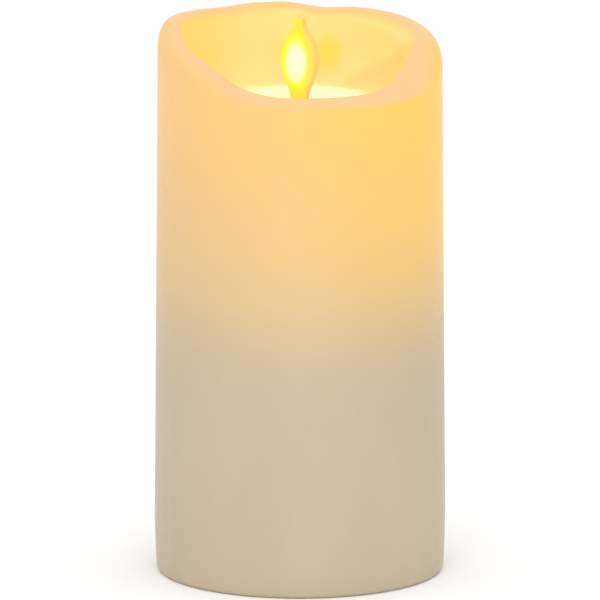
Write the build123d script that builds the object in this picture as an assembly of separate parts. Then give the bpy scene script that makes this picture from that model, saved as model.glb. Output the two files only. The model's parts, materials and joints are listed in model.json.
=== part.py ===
from build123d import *
import math
import os

# Flameless LED candle: a wax pillar with a melted-looking bowl, a swinging
# plastic flame, a lamp module under the bowl, and a battery base.
# Millimetres. +Z is up, the origin is the centre of the foot, and the low side
# of the rim faces -Y. Pieces of the flame module are drawn facing -Y and then
# turned about Z by MODULE_YAW.

# ---- overall sizes -------------------------------------------------------
RIM_HEIGHT = 171.0          # highest point of the wax rim
BELLY_R = 45.0              # widest radius, a little above the foot
FOOT_TUCK = 0.55            # radius at the table is this much less
BELLY_Z = 19.0              # height of the widest section
WALL_DRAFT = 0.58           # degrees, mould draft of the wall above the belly
FOOT_EDGE = 1.5             # rounding of the bottom edge

# ---- wax shell -----------------------------------------------------------
WAX_WALL = 6.4              # wax outside the sleeve, at the belly
WAX_FLOOR = 5.4             # wax between the sleeve's roof and the bowl
BOWL_DEPTH = 24.0           # rim's highest point down to the bowl's floor
LIP = 6.6                   # wall left at the top of the rim
BOWL_CORNER = 11.5          # radius between the bowl's floor and its wall
BOWL_LEAN = 10.0            # degrees, the bowl's wall leans outwards
RIM_ROUND = 4.2             # outer rounding of the rim
LIP_ROUND = 1.2             # inner rounding of the rim
# how far the rim lies below its highest point, every 45 degrees from +X
RIM_DROPS = (6.5, 1.8, 0.4, 0.2, 0.5, 12.4, 19.9, 18.5)
CAST_GAP = 0.1              # wax shrinks this far off the sleeve

# ---- core sleeve and base ------------------------------------------------
SLEEVE_WALL = 1.5
SLEEVE_ROOF = 2.0
BASE_Z = 1.5                # underside of the base plate, above the table
BASE_T = 3.0                # thickness of the base plate
BASE_GAP = 0.3              # base plate to the wax around it
BOSS_R = 3.2                # screw bosses in the sleeve
BOSS_H = 15.0
BOSS_INSET = 3.5            # boss centre in from the sleeve's inner wall

# ---- flame module --------------------------------------------------------
MODULE_YAW = -25.0          # the flame's face turns towards -X
POST_H = 5.0                # posts that hang from the sleeve's roof
POST_R = 2.6
POST_X = 18.0
POST_Y = 8.0
FLANGE_R = 24.0
FLANGE_T = 1.8
NECK_R = 12.2
NECK_WALL = 1.2
NECK_TOP_T = 1.5
NECK_DROP = 2.0             # neck's top below the bowl's floor
NECK_GAP = 0.3              # wax opening around the neck
ROOF_GAP = 0.1              # sleeve's roof hole around the neck
SLOT_L = 20.0               # flame slot, along the module's Y
SLOT_W = 12.8
HOUSING_X = 28.0
HOUSING_Y = 32.0
HOUSING_H = 36.0
HOUSING_WALL = 1.6
HOUSING_EDGE = 2.5          # rounding of the housing's upright corners
EAR_T = 1.8
PIVOT_DROP = 3.2            # pivot wire below the top of the housing
PIVOT_R = 0.4
PIVOT_GAP = 0.08            # running clearance of the flame on its wire
SEAT_GAP = 0.03             # pieces that are seated without play
PIVOT_BITE = 1.2            # length of wire held in each wall

# ---- flame ---------------------------------------------------------------
FLAME_H = 25.0              # flame above the bowl's floor
FLAME_DEPTH = 4.2
STEM_W = 4.6
STEM_D = 3.6
STEM_EYE_R = 2.6            # round eye that takes the pivot wire
TAIL_L = 15.5               # pivot down to the magnet
MAGNET_R = 3.5
MAGNET_H = 4.0
FLAME_SKIN = 1.2            # wall left around the hollow in the flame's back
DISH_R = 30.0               # radius of the hollow in the flame's face
DISH_DEPTH = 0.6

# ---- light ---------------------------------------------------------------
LED_R = 2.5
LED_L = 8.6
LED_RIM = 0.45              # rim stands out this far
LED_RIM_T = 1.0
LED_Y = -10.0
LED_BELOW_PIVOT = 10.9      # the LED's rim below the pivot wire
LED_AIM = 10.0              # beam meets the flame this far above the bowl's floor
LED_HOLDER = (18.0, 8.0, 5.0)
LED_RIB = 1.2
LEAD_R = 0.25
LEAD_PITCH = 2.54
LEAD_L = 5.0

# ---- coil ----------------------------------------------------------------
BOBBIN_R = 9.0
BOBBIN_H = 10.0
BOBBIN_CORE_R = 4.0
BOBBIN_BORE_R = 2.5
BOBBIN_FLANGE = 1.2
COIL_INSET = 0.6            # winding inside the bobbin's flanges
COIL_GAP = 0.05

# ---- cells and battery box -----------------------------------------------
CELL_R = 13.1
CELL_L = 50.0
NUB_R = 3.6
NUB_H = 1.6
CELL_GAP = 0.3              # each cell inside its bay
BOX_WALL = 1.6
BOX_ROOF = 2.0
SPRING_H = 4.0              # contact spring, pressed by its cell
SPRING_T = 0.4
SPRING_W = 8.0
SPRING_FOOT = 7.0           # half length of the sprung leaf
SPRING_CREST = 2.0          # half length of its crest
SPRING_BEND = 1.0
CONTACT_T = 0.4
CONTACT_W = 11.0
TAB_W = 3.0
TAB_H = 3.4                 # solder tab above the box's roof
TAB_Y = 9.4

# ---- battery door --------------------------------------------------------
DOOR_T = 2.6
DOOR_GAP = 0.3
KNUCKLE_R = 1.3
KNUCKLE_L = 9.0
KNUCKLE_GAP = 0.25          # along the pin, between knuckles
HINGE_ROOM = 0.5            # plate edge past the knuckles
SLAB_ROOM = 0.7             # door's slab short of the knuckles
PIN_R = 0.6
PIN_GAP = 0.05
RIDGE = 0.2                 # snap ridge on the door's free edge

# ---- switch --------------------------------------------------------------
SWITCH_Y = -24.5
SWITCH_STEP = 2.0           # OFF lies in the middle, ON and TIMER beside it
SWITCH_BODY = (13.0, 6.6, 5.0)
SWITCH_WALL = 0.9
SWITCH_FRAME = (21.0, 6.6, 0.4)
SLIDER = (6.0, 4.2, 1.6)
KNOB_STEM = (3.0, 2.4)
KNOB_CAP = (4.2, 3.6)
KNOB_TIP_Z = 0.6            # knob's end above the table
SWITCH_GAP = 0.3
SWITCH_PIN = (0.9, 0.5, 3.5)
SWITCH_PIN_PITCH = 3.0

# ---- control board -------------------------------------------------------
BOARD = (44.0, 26.0, 1.6)
STANDOFF_H = 6.0
STANDOFF_R = 2.4
STANDOFF_INSET = 3.0

# ---- screws and wires ----------------------------------------------------
BASE_SCREW = (2.4, 1.6, 1.3, 10.0)       # head radius, head, shank radius, length
SMALL_SCREW = (1.9, 1.3, 1.0, 8.0)
LONG_SCREW = (1.9, 1.3, 1.0, 18.0)
TINY_SCREW = (1.4, 0.8, 0.7, 2.6)
THREAD_GAP = 0.03           # pilot hole around a self-tapping thread
HOLE_GAP = 0.2              # clearance hole around a shank
HEAD_GAP = 0.3              # counterbore around a head
HEAD_SINK = 0.1             # head below the face around it
WIRE_R = 0.6
WIRE_BEND = 2.5

# ---- places that follow from the sizes above --------------------------------
FOOT_R = BELLY_R - FOOT_TUCK
LED_RIM_R = LED_R + LED_RIM
COIL_R = BOBBIN_R - COIL_INSET
SLEEVE_R = BELLY_R - WAX_WALL - CAST_GAP
SLEEVE_BORE = SLEEVE_R - SLEEVE_WALL
BOWL_Z = RIM_HEIGHT - BOWL_DEPTH
ROOF_Z = BOWL_Z - WAX_FLOOR - CAST_GAP
BASE_TOP = BASE_Z + BASE_T
FLANGE_TOP = ROOF_Z - SLEEVE_ROOF - POST_H
HOUSING_TOP = FLANGE_TOP - FLANGE_T
HOUSING_Z = HOUSING_TOP - HOUSING_H
HOUSING_FLOOR = HOUSING_Z + HOUSING_WALL
NECK_TOP = BOWL_Z - NECK_DROP
PIVOT_Z = HOUSING_TOP - PIVOT_DROP
MAGNET_TOP = PIVOT_Z - TAIL_L
LED_Z = PIVOT_Z - LED_BELOW_PIVOT
LED_TILT = math.degrees(math.atan2(-FLAME_DEPTH / 2 - LED_Y, BOWL_Z + LED_AIM - LED_Z))
HINGE_Y = CELL_R + CELL_GAP + BOX_WALL
HINGE_Z = BASE_Z + KNUCKLE_R
BRIDGE_Z = BASE_Z + DOOR_T
CELL_LOW_Z = BRIDGE_Z + CONTACT_T
BAY_TOP = CELL_LOW_Z + SPRING_H + CELL_L + CONTACT_T
BOX_TOP = BAY_TOP + BOX_ROOF
CELL_X = CELL_R + CELL_GAP + BOX_WALL / 2
BAY_X = CELL_X + CELL_R + CELL_GAP
BAY_Y = CELL_R + CELL_GAP
EAR_BOSS_X = BAY_X + BOX_WALL + BOSS_R
DOOR_X = BAY_X + 0.4
DOOR_Y = BAY_Y + 0.3
BOARD_Z = BOX_TOP + STANDOFF_H
BOARD_TOP = BOARD_Z + BOARD[2]
BOSS_AT = (SLEEVE_BORE - BOSS_INSET) / math.sqrt(2)
SCREW_BEARING = BASE_Z + BASE_SCREW[1] + HEAD_SINK
LOW = (Align.CENTER, Align.CENTER, Align.MIN)


# ---- small helpers ----------------------------------------------------------
def disc(radius, low, high):
    """An upright cylinder between two heights."""
    return Pos(0, 0, low) * Cylinder(radius, high - low, align=LOW)


def block(x, y, z):
    """A box between two corners, each pair being low and high."""
    size = (x[1] - x[0], y[1] - y[0], z[1] - z[0])
    return Pos(x[0], y[0], z[0]) * Box(*size, align=(Align.MIN, Align.MIN, Align.MIN))


def across_x(radius, x, y, z):
    """A cylinder along X, from x[0] to x[1]."""
    rod = Cylinder(radius, x[1] - x[0], align=LOW)
    return Pos(x[0], y, z) * Rot(Y=90) * rod


def across_y(radius, x, y, z):
    """A cylinder along Y, from y[0] to y[1]."""
    rod = Cylinder(radius, y[1] - y[0], align=LOW)
    return Pos(x, y[1], z) * Rot(X=90) * rod


def turned(points):
    """A solid turned about Z from a closed outline of radius and height."""
    outline = Polyline(*points, close=True)
    return revolve(Plane.XZ * make_face(outline), Axis.Z)


def screw(head_r, head_h, shank_r, length):
    """Pan head above Z 0 with a cross recess, shank below, a pointed end."""
    head = turned([(0, 0), (head_r, 0), (head_r, head_h * 0.5), (head_r * 0.8, head_h), (0, head_h)])
    body = turned([(0, 0), (shank_r, 0), (shank_r, shank_r - length), (0.2, -length), (0, -length)])
    recess = Box(head_r * 1.2, head_r * 0.3, head_h * 0.55, align=(Align.CENTER, Align.CENTER, Align.MAX))
    cross = recess + Rot(Z=90) * recess
    return head + body - Pos(0, 0, head_h) * cross


def tube(points, radii):
    """An insulated wire along straight runs with a tangent arc at each corner."""
    path = FilletPolyline(*points, radius=radii)
    section = Plane(origin=path @ 0, z_dir=path % 0) * Circle(WIRE_R)
    return sweep(section, path=path)


def in_module(shape):
    """Turn a piece of the flame module to face the way the flame does."""
    return Rot(Z=MODULE_YAW) * shape


def module_group(shapes):
    """Separate solids of the flame module that share one node."""
    return group([in_module(shape) for shape in shapes])


def module_point(x, y, z):
    """A point of the flame module, in the candle's own frame."""
    turn = math.radians(MODULE_YAW)
    return (x * math.cos(turn) - y * math.sin(turn), x * math.sin(turn) + y * math.cos(turn), z)


def group(shapes):
    """Separate solids that share one node."""
    return Compound([solid for shape in shapes for solid in shape.solids()])


# ---- wax shell --------------------------------------------------------------
def wall_radius(z):
    """Radius of the outer wall above the belly."""
    return BELLY_R - (z - BELLY_Z) * math.tan(math.radians(WALL_DRAFT))


def rim_terms():
    """Waves of the rim: mean height, then a cosine and a sine term for each."""
    count = len(RIM_DROPS)
    mean = sum(RIM_DROPS) / count
    terms = []
    for wave in range(1, count // 2 + 1):
        share = 1 / count if wave == count // 2 else 2 / count
        angles = [2 * math.pi * wave * i / count for i in range(count)]
        cosine = share * sum(d * math.cos(a) for d, a in zip(RIM_DROPS, angles))
        sine = share * sum(d * math.sin(a) for d, a in zip(RIM_DROPS, angles))
        terms.append((wave, cosine, sine))
    return mean, terms


def rim_surface_z(x, y, mean, terms):
    """Height of the melted rim over a point, a soap film across the rim's heights."""
    reach = math.hypot(x, y) / (wall_radius(RIM_HEIGHT) - LIP / 2)
    angle = math.atan2(y, x)
    drop = mean
    for wave, cosine, sine in terms:
        drop += reach ** wave * (cosine * math.cos(wave * angle) + sine * math.sin(wave * angle))
    return RIM_HEIGHT - drop


def rim_cutter():
    """Everything above the melted rim."""
    mean, terms = rim_terms()
    steps = 16
    half = BELLY_R + 3
    line = [half * (2 * i / steps - 1) for i in range(steps + 1)]
    points = [[Vector(x, y, rim_surface_z(x, y, mean, terms)) for x in line] for y in line]
    sheet = Face.make_surface_from_array_of_points(points)
    return Solid.extrude(sheet, Vector(0, 0, RIM_HEIGHT))


def bowl_cutter():
    """The bowl: a flat floor, a round corner and a wall that leans outwards."""
    top = RIM_HEIGHT + 8
    lean = math.radians(BOWL_LEAN)
    turn = math.pi / 2 - lean
    rise = BOWL_CORNER * (1 - math.cos(turn))
    rim_r = wall_radius(RIM_HEIGHT) - LIP
    corner_end_r = rim_r - (BOWL_DEPTH - rise) * math.tan(lean)
    floor_r = corner_end_r - BOWL_CORNER * math.sin(turn)
    floor = Line((0, BOWL_Z), (floor_r, BOWL_Z))
    corner = JernArc(floor @ 1, (1, 0), BOWL_CORNER, math.degrees(turn))
    top_r = corner_end_r + (top - BOWL_Z - rise) * math.tan(lean)
    wall = Polyline(corner @ 1, (top_r, top), (0, top), (0, BOWL_Z))
    return revolve(Plane.XZ * make_face(floor + corner + wall), Axis.Z)


def wax_body():
    """The outer wall turned about Z: rounded foot, full belly, drafted wall."""
    top = RIM_HEIGHT + 4
    swell = BELLY_R - FOOT_R
    belly_arc = ((BELLY_Z - FOOT_EDGE) ** 2 + swell ** 2) / (2 * swell)
    sweep_down = math.degrees(math.asin((BELLY_Z - FOOT_EDGE) / belly_arc))
    centre = (BELLY_R - belly_arc, BELLY_Z)
    belly = CenterArc(centre, belly_arc, -sweep_down, sweep_down + WALL_DRAFT)
    edge = ThreePointArc(
        (FOOT_R - FOOT_EDGE, 0),
        (FOOT_R - FOOT_EDGE * (1 - math.sqrt(0.5)), FOOT_EDGE * (1 - math.sqrt(0.5))),
        belly @ 0,
    )
    rest = Polyline(belly @ 1, (wall_radius(top), top), (0, top), (0, 0), edge @ 0)
    return revolve(Plane.XZ * make_face(edge + belly + rest), Axis.Z)


def wax_shell():
    body = wax_body() - rim_cutter() - bowl_cutter()
    body -= disc(SLEEVE_R + CAST_GAP, 0, ROOF_Z + CAST_GAP)
    body -= disc(NECK_R + NECK_GAP, 0, BOWL_Z + 1)
    rim = [e for e in body.edges() if e.bounding_box().min.Z > BOWL_Z + 1 and e.geom_type != GeomType.LINE]
    outer = [e for e in rim if radius_of(e @ 0.5) > wall_radius(RIM_HEIGHT) - LIP / 2]
    body = fillet(outer, RIM_ROUND)
    rim = [e for e in body.edges() if e.bounding_box().min.Z > BOWL_Z + 1 and e.geom_type != GeomType.LINE]
    inner = [e for e in rim if radius_of(e @ 0.5) < wall_radius(RIM_HEIGHT) - LIP + LIP_ROUND]
    return fillet(inner, LIP_ROUND)


def radius_of(point):
    """Distance of a point from the candle's axis."""
    return math.hypot(point.X, point.Y)


# ---- sleeve and base --------------------------------------------------------
def boss_places():
    """The four base screws that hold the plate to the sleeve."""
    return [(x * BOSS_AT, y * BOSS_AT) for x in (1, -1) for y in (1, -1)]


def post_places():
    """The four posts that hold the flame module, in the module's frame."""
    return [(x * POST_X, y * POST_Y) for x in (1, -1) for y in (1, -1)]


def core_sleeve():
    """Plastic cup, mouth down, that the wax is cast around."""
    cup = disc(SLEEVE_R, BASE_TOP, ROOF_Z) - disc(SLEEVE_BORE, BASE_TOP, ROOF_Z - SLEEVE_ROOF)
    pilot = disc(BASE_SCREW[2] + THREAD_GAP, BASE_TOP, BASE_TOP + BOSS_H)
    for x, y in boss_places():
        angle = math.degrees(math.atan2(y, x))
        web = block((0, BOSS_INSET + SLEEVE_WALL / 2), (-1, 1), (BASE_TOP, BASE_TOP + BOSS_H))
        cup += Pos(x, y) * (disc(BOSS_R, BASE_TOP, BASE_TOP + BOSS_H) + Rot(Z=angle) * web)
        cup -= Pos(x, y) * pilot
    for x, y in post_places():
        post = disc(POST_R, FLANGE_TOP, ROOF_Z - SLEEVE_ROOF / 2)
        thread = disc(SMALL_SCREW[2] + THREAD_GAP, FLANGE_TOP, ROOF_Z - SLEEVE_ROOF)
        cup += in_module(Pos(x, y) * post)
        cup -= in_module(Pos(x, y) * thread)
    return cup - disc(NECK_R + ROOF_GAP, FLANGE_TOP, ROOF_Z + 1)


def base_screw_places():
    """Screws through the base plate, four into the sleeve and two into the box."""
    return boss_places() + [(EAR_BOSS_X, 0), (-EAR_BOSS_X, 0)]


def knuckle_places():
    """Middle of each hinge knuckle along X, with True where the door has it."""
    pitch = KNUCKLE_L + KNUCKLE_GAP
    return [(-2 * pitch, False), (-pitch, True), (0, False), (pitch, True), (2 * pitch, False)]


def hinge_half():
    """Half the length of the whole row of knuckles."""
    return 2.5 * KNUCKLE_L + 2 * KNUCKLE_GAP


def door_opening():
    """The hole that the door closes, with room for the hinge and for the slab's edge to swing past."""
    x = DOOR_X + DOOR_GAP
    front = -DOOR_Y - DOOR_GAP - RIDGE / 2
    back = HINGE_Y - KNUCKLE_R - SLAB_ROOM + 2 * DOOR_GAP
    hinge_x = hinge_half() + KNUCKLE_GAP
    hinge = block((-hinge_x, hinge_x), (0, HINGE_Y + KNUCKLE_R + HINGE_ROOM), (0, BASE_TOP + 1))
    return block((-x, x), (front, back), (0, BASE_TOP + 1)) + hinge


def base_plate():
    """Recessed plate that closes the foot."""
    radius = SLEEVE_R + CAST_GAP - BASE_GAP
    plate = disc(radius, BASE_Z, BASE_TOP)
    plate = chamfer(plate.edges().group_by(Axis.Z)[0], 0.4) - door_opening()
    back = HINGE_Y + KNUCKLE_R + HINGE_ROOM + 1
    for x, on_door in knuckle_places():
        if on_door:
            continue
        span = (x - KNUCKLE_L / 2, x + KNUCKLE_L / 2)
        web = block(span, (HINGE_Y, back), (BASE_Z, BASE_Z + 2 * KNUCKLE_R))
        plate += across_x(KNUCKLE_R, span, HINGE_Y, HINGE_Z) + web
    plate -= across_x(PIN_R + PIN_GAP, (-hinge_half() - 1, hinge_half() + 1), HINGE_Y, HINGE_Z)
    for x, y in base_screw_places():
        plate -= Pos(x, y) * disc(BASE_SCREW[2] + HOLE_GAP, 0, BASE_TOP + 1)
        plate -= Pos(x, y) * disc(BASE_SCREW[0] + HEAD_GAP, 0, SCREW_BEARING)
    window_x = KNOB_CAP[0] / 2 + SWITCH_STEP + SWITCH_GAP
    window_y = KNOB_CAP[1] / 2 + SWITCH_GAP
    plate -= Pos(0, SWITCH_Y) * block((-window_x, window_x), (-window_y, window_y), (0, BASE_TOP + 1))
    for x in switch_screw_places():
        plate -= Pos(x, SWITCH_Y) * disc(TINY_SCREW[2] + THREAD_GAP, BASE_TOP - TINY_SCREW[3], BASE_TOP + 1)
    return plate


def base_screws():
    fastener = Rot(X=180) * screw(*BASE_SCREW)
    return group([Pos(x, y, SCREW_BEARING) * fastener for x, y in base_screw_places()])


# ---- battery door -----------------------------------------------------------
def battery_door():
    """Hinged door with a snap ridge, a finger notch and a nest for its contact."""
    back = HINGE_Y - KNUCKLE_R - SLAB_ROOM
    slab = block((-DOOR_X, DOOR_X), (-DOOR_Y, back), (BASE_Z, BRIDGE_Z))
    slab = fillet(slab.edges().filter_by(Axis.Z).group_by(Axis.Y)[0], 2.0)
    for x, on_door in knuckle_places():
        if not on_door:
            continue
        span = (x - KNUCKLE_L / 2, x + KNUCKLE_L / 2)
        slab += across_x(KNUCKLE_R, span, HINGE_Y, HINGE_Z)
        slab += block(span, (back - 1, HINGE_Y), (BASE_Z, BRIDGE_Z))
        slab -= across_x(PIN_R + PIN_GAP, (x - KNUCKLE_L, x + KNUCKLE_L), HINGE_Y, HINGE_Z)
    slab += block((-6, 6), (-DOOR_Y - RIDGE, -DOOR_Y + 1), (HINGE_Z - 0.5, HINGE_Z + 0.5))
    notch = across_x(4.0, (-7, 7), -DOOR_Y + 3.2, BASE_Z - 3.0)
    slots = [
        block((s * 7.6 - 0.5, s * 7.6 + 0.5), (-DOOR_Y - 1, -DOOR_Y + 7), (0, BRIDGE_Z + 1))
        for s in (-1, 1)
    ]
    return slab - notch - slots[0] - slots[1]


def hinge_pin():
    return across_x(PIN_R, (-hinge_half(), hinge_half()), HINGE_Y, HINGE_Z)


def door_bridge_plate():
    """Strip on the door that joins the two cells."""
    half = CELL_X + SPRING_FOOT + 1
    strip = block((-half, half), (-CONTACT_W / 2, CONTACT_W / 2), (BRIDGE_Z, CELL_LOW_Z))
    return fillet(strip.edges().filter_by(Axis.Z), 2.0)


def contact_spring(height):
    """Sprung leaf: two flat feet and a raised crest that bears on the cell."""
    low = SPRING_T / 2
    high = height - SPRING_T / 2
    slope = (SPRING_FOOT + SPRING_CREST) / 2
    points = [(-SPRING_FOOT, low), (-slope, low), (-SPRING_CREST, high)]
    points += [(SPRING_CREST, high), (slope, low), (SPRING_FOOT, low)]
    path = FilletPolyline(*[(x, 0, z) for x, z in points], radius=SPRING_BEND)
    section = Plane(origin=path @ 0, z_dir=path % 0, x_dir=(0, 1, 0)) * Rectangle(SPRING_W, SPRING_T)
    return sweep(section, path=path)


def door_bridge_spring():
    return Pos(-CELL_X, 0, CELL_LOW_Z) * contact_spring(SPRING_H)


# ---- cells and battery box --------------------------------------------------
def cell():
    """A C cell standing on its flat end, its cap up."""
    can_top = CELL_L - NUB_H
    edge = 0.8
    can = [(0, 0), (CELL_R - 1.6, 0), (CELL_R - edge, 0.2), (CELL_R, edge), (CELL_R, can_top - edge)]
    shoulder = [(CELL_R - edge, can_top), (CELL_R - 2.6, can_top), (CELL_R - 3.0, can_top - 0.5)]
    cap = [(NUB_R + 1.6, can_top - 0.5), (NUB_R, can_top)]
    cap += [(NUB_R, CELL_L - 0.3), (NUB_R - 0.4, CELL_L), (0, CELL_L)]
    return turned(can + shoulder + cap)


def cell_left():
    """Cap up, flat end on the door's spring."""
    return Pos(-CELL_X, 0, CELL_LOW_Z + SPRING_H) * cell()


def cell_right():
    """Cap down on the door's strip, flat end against the spring above."""
    return Pos(CELL_X, 0, CELL_LOW_Z + CELL_L) * Rot(X=180) * cell()


def battery_box():
    """Two bays, open at the foot, with posts for the board on the roof."""
    x = BAY_X + BOX_WALL
    y = BAY_Y + BOX_WALL
    box = block((-x, x), (-y, y), (BASE_TOP, BOX_TOP))
    box = fillet(box.edges().filter_by(Axis.Z), 2.0)
    for side in (-1, 1):
        bay = block((-CELL_R - CELL_GAP, CELL_R + CELL_GAP), (-BAY_Y, BAY_Y), (BASE_TOP, BAY_TOP))
        box -= Pos(side * CELL_X, 0) * fillet(bay.edges().filter_by(Axis.Z), 1.0)
        boss = disc(BOSS_R, BASE_TOP, BASE_TOP + BOSS_H)
        web = block((-BOSS_R - BOX_WALL / 2, 0), (-1, 1), (BASE_TOP, BASE_TOP + BOSS_H))
        box += Pos(side * EAR_BOSS_X, 0) * (boss + Rot(Z=0 if side > 0 else 180) * web)
        box -= Pos(side * EAR_BOSS_X, 0) * disc(BASE_SCREW[2] + THREAD_GAP, BASE_TOP, BASE_TOP + BOSS_H)
        tab_room = block((-TAB_W / 2 - 0.2, TAB_W / 2 + 0.2), (-0.3, CONTACT_T + 0.3), (BAY_TOP, BOX_TOP))
        box -= Pos(side * CELL_X, TAB_Y) * tab_room
    for x, y in board_screw_places():
        box += Pos(x, y) * disc(STANDOFF_R, BOX_TOP, BOARD_Z)
        box -= Pos(x, y) * disc(SMALL_SCREW[2] + THREAD_GAP, BOX_TOP - 1, BOARD_Z + 1)
    return box


def contact_plate(side):
    """Contact under the box's roof, with a tab bent up through the slot."""
    half = CONTACT_W / 2
    plate = block((-half, half), (-half, TAB_Y + CONTACT_T), (BAY_TOP - CONTACT_T, BAY_TOP))
    tab = block((-TAB_W / 2, TAB_W / 2), (TAB_Y, TAB_Y + CONTACT_T), (BAY_TOP - CONTACT_T, BOX_TOP + TAB_H))
    return Pos(side * CELL_X, 0) * (plate + tab)


def positive_contact():
    return contact_plate(-1)


def negative_contact():
    return contact_plate(1)


def negative_spring():
    top = BAY_TOP - CONTACT_T
    return Pos(CELL_X, 0, top) * Rot(X=180) * contact_spring(SPRING_H)


# ---- control board ----------------------------------------------------------
def board_screw_places():
    x = BOARD[0] / 2 - STANDOFF_INSET
    y = BOARD[1] / 2 - STANDOFF_INSET
    return [(x, y), (x, -y), (-x, y), (-x, -y)]


def control_board():
    board = Pos(0, 0, BOARD_Z) * Box(*BOARD, align=LOW)
    board = fillet(board.edges().filter_by(Axis.Z), 1.5)
    for x, y in board_screw_places():
        board -= Pos(x, y) * disc(SMALL_SCREW[2] + HOLE_GAP, BOARD_Z - 1, BOARD_TOP + 1)
    return board


def board_screws():
    return group([Pos(x, y, BOARD_TOP) * screw(*SMALL_SCREW[:3], 6.0) for x, y in board_screw_places()])


def controller_chip():
    """Moulded case on eight bent legs."""
    case = Box(8.0, 4.4, 1.6, align=LOW)
    case = Pos(2, 2, BOARD_TOP + 0.2) * chamfer(case.edges().group_by(Axis.Z)[-1], 0.3)
    for i in range(4):
        x = 2 + (i - 1.5) * 1.9
        case += block((x - 0.3, x + 0.3), (-1.6, 5.6), (BOARD_TOP, BOARD_TOP + 0.5))
    return case


def smoothing_capacitor():
    """Can with a rounded top and a groove near its foot."""
    z = BOARD_TOP
    outline = [(0, z), (3.0, z), (3.15, z + 0.4), (3.15, z + 1.4), (2.85, z + 1.8), (3.15, z + 2.2)]
    outline += [(3.15, z + 10.4), (2.75, z + 10.9), (0, z + 10.9)]
    return Pos(14, 1) * turned(outline)


def crystal():
    can = Pos(-10, 5.5, BOARD_TOP) * Box(9.6, 4.2, 3.4, align=LOW)
    return fillet(can.edges().filter_by(Axis.Z), 2.0)


def drive_transistor():
    """Half-round case on its back."""
    case = disc(2.3, BOARD_TOP, BOARD_TOP + 4.6) - block((-3, 3), (1.2, 3), (BOARD_TOP, BOARD_TOP + 5))
    return Pos(-16, 0.5) * case


def resistors():
    """A row of chip resistors."""
    chips = []
    for i in range(5):
        chips.append(Pos(-2 + i * 3.2, 10.2, BOARD_TOP) * Box(1.3, 2.0, 0.6, align=LOW))
    return group(chips)


# ---- switch -----------------------------------------------------------------
def switch_screw_places():
    half = (SWITCH_FRAME[0] / 2 + SWITCH_BODY[0] / 2) / 2
    return [-half, half]


def switch_frame():
    """Steel plate under the switch, with a window for the knob."""
    frame = Pos(0, SWITCH_Y, BASE_TOP) * Box(*SWITCH_FRAME, align=LOW)
    frame = fillet(frame.edges().filter_by(Axis.Z), 1.5)
    x = KNOB_STEM[0] / 2 + SWITCH_STEP + SWITCH_GAP
    y = KNOB_STEM[1] / 2 + SWITCH_GAP
    frame -= Pos(0, SWITCH_Y) * block((-x, x), (-y, y), (0, BASE_TOP + 2))
    for place in switch_screw_places():
        frame -= Pos(place, SWITCH_Y) * disc(TINY_SCREW[2] + HOLE_GAP, 0, BASE_TOP + 2)
    return frame


def switch_body():
    """Moulded case, open below, that the slider runs in."""
    low = BASE_TOP + SWITCH_FRAME[2]
    body = Pos(0, SWITCH_Y, low) * Box(*SWITCH_BODY, align=LOW)
    x = SLIDER[0] / 2 + SWITCH_STEP + SWITCH_GAP
    y = SWITCH_BODY[1] / 2 - SWITCH_WALL
    return body - Pos(0, SWITCH_Y) * block((-x, x), (-y, y), (low, low + SLIDER[2] + 2 * SWITCH_GAP))


def switch_pins():
    low = BASE_TOP + SWITCH_FRAME[2] + SWITCH_BODY[2]
    places = (-SWITCH_PIN_PITCH, 0, SWITCH_PIN_PITCH)
    return group([Pos(x, SWITCH_Y, low) * Box(*SWITCH_PIN, align=LOW) for x in places])


def switch_knob():
    """Slider, stem and ribbed thumb cap, at ON."""
    low = BASE_TOP + SWITCH_FRAME[2] + SWITCH_GAP
    knob = Pos(0, 0, low) * Box(*SLIDER, align=LOW)
    knob += Pos(0, 0, BASE_TOP - 0.6) * Box(*KNOB_STEM, low - BASE_TOP + 0.7, align=LOW)
    cap = Pos(0, 0, KNOB_TIP_Z) * Box(*KNOB_CAP, BASE_TOP - 0.5 - KNOB_TIP_Z, align=LOW)
    for i in (-1, 0, 1):
        cap -= block((i * 1.2 - 0.3, i * 1.2 + 0.3), (-3, 3), (KNOB_TIP_Z - 1, KNOB_TIP_Z + 0.4))
    return Pos(-SWITCH_STEP, SWITCH_Y) * (knob + cap)


def switch_screws():
    z = BASE_TOP + SWITCH_FRAME[2]
    return group([Pos(x, SWITCH_Y, z) * screw(*TINY_SCREW) for x in switch_screw_places()])


# ---- flame module -----------------------------------------------------------
def flame_collar():
    """Flange under the roof and a neck up into the bowl, with the flame's slot."""
    inner = NECK_R - NECK_WALL
    collar = disc(FLANGE_R, HOUSING_TOP, FLANGE_TOP) + disc(NECK_R, FLANGE_TOP, NECK_TOP)
    collar = fillet(collar.edges().group_by(Axis.Z)[-1], 0.6)
    collar -= disc(inner, HOUSING_TOP, NECK_TOP - NECK_TOP_T)
    mouth = Plane.XY.offset(NECK_TOP - NECK_TOP_T - 1) * Rot(Z=90) * SlotOverall(SLOT_L, SLOT_W)
    slot = extrude(mouth, NECK_TOP_T + 2)
    collar -= slot
    for x, y in post_places():
        collar -= Pos(x, y) * disc(SMALL_SCREW[2] + HOLE_GAP, HOUSING_TOP - 1, FLANGE_TOP + 1)
    return in_module(collar)


def module_screws():
    z = HOUSING_TOP - EAR_T
    fastener = Rot(X=180) * screw(*SMALL_SCREW)
    return module_group([Pos(x, y, z) * fastener for x, y in post_places()])


def housing_screw_places():
    """Screws along X that close the housing, as Y and Z."""
    y = HOUSING_Y / 2 - HOUSING_WALL - 2.7
    return [(y, HOUSING_FLOOR + 4.2), (y, HOUSING_TOP - 8.7), (-y, HOUSING_FLOOR + 9.2)]


def led_frame():
    """The LED's own frame: origin under its rim, Z along the beam."""
    return Pos(0, LED_Y, LED_Z) * Rot(X=-LED_TILT)


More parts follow.
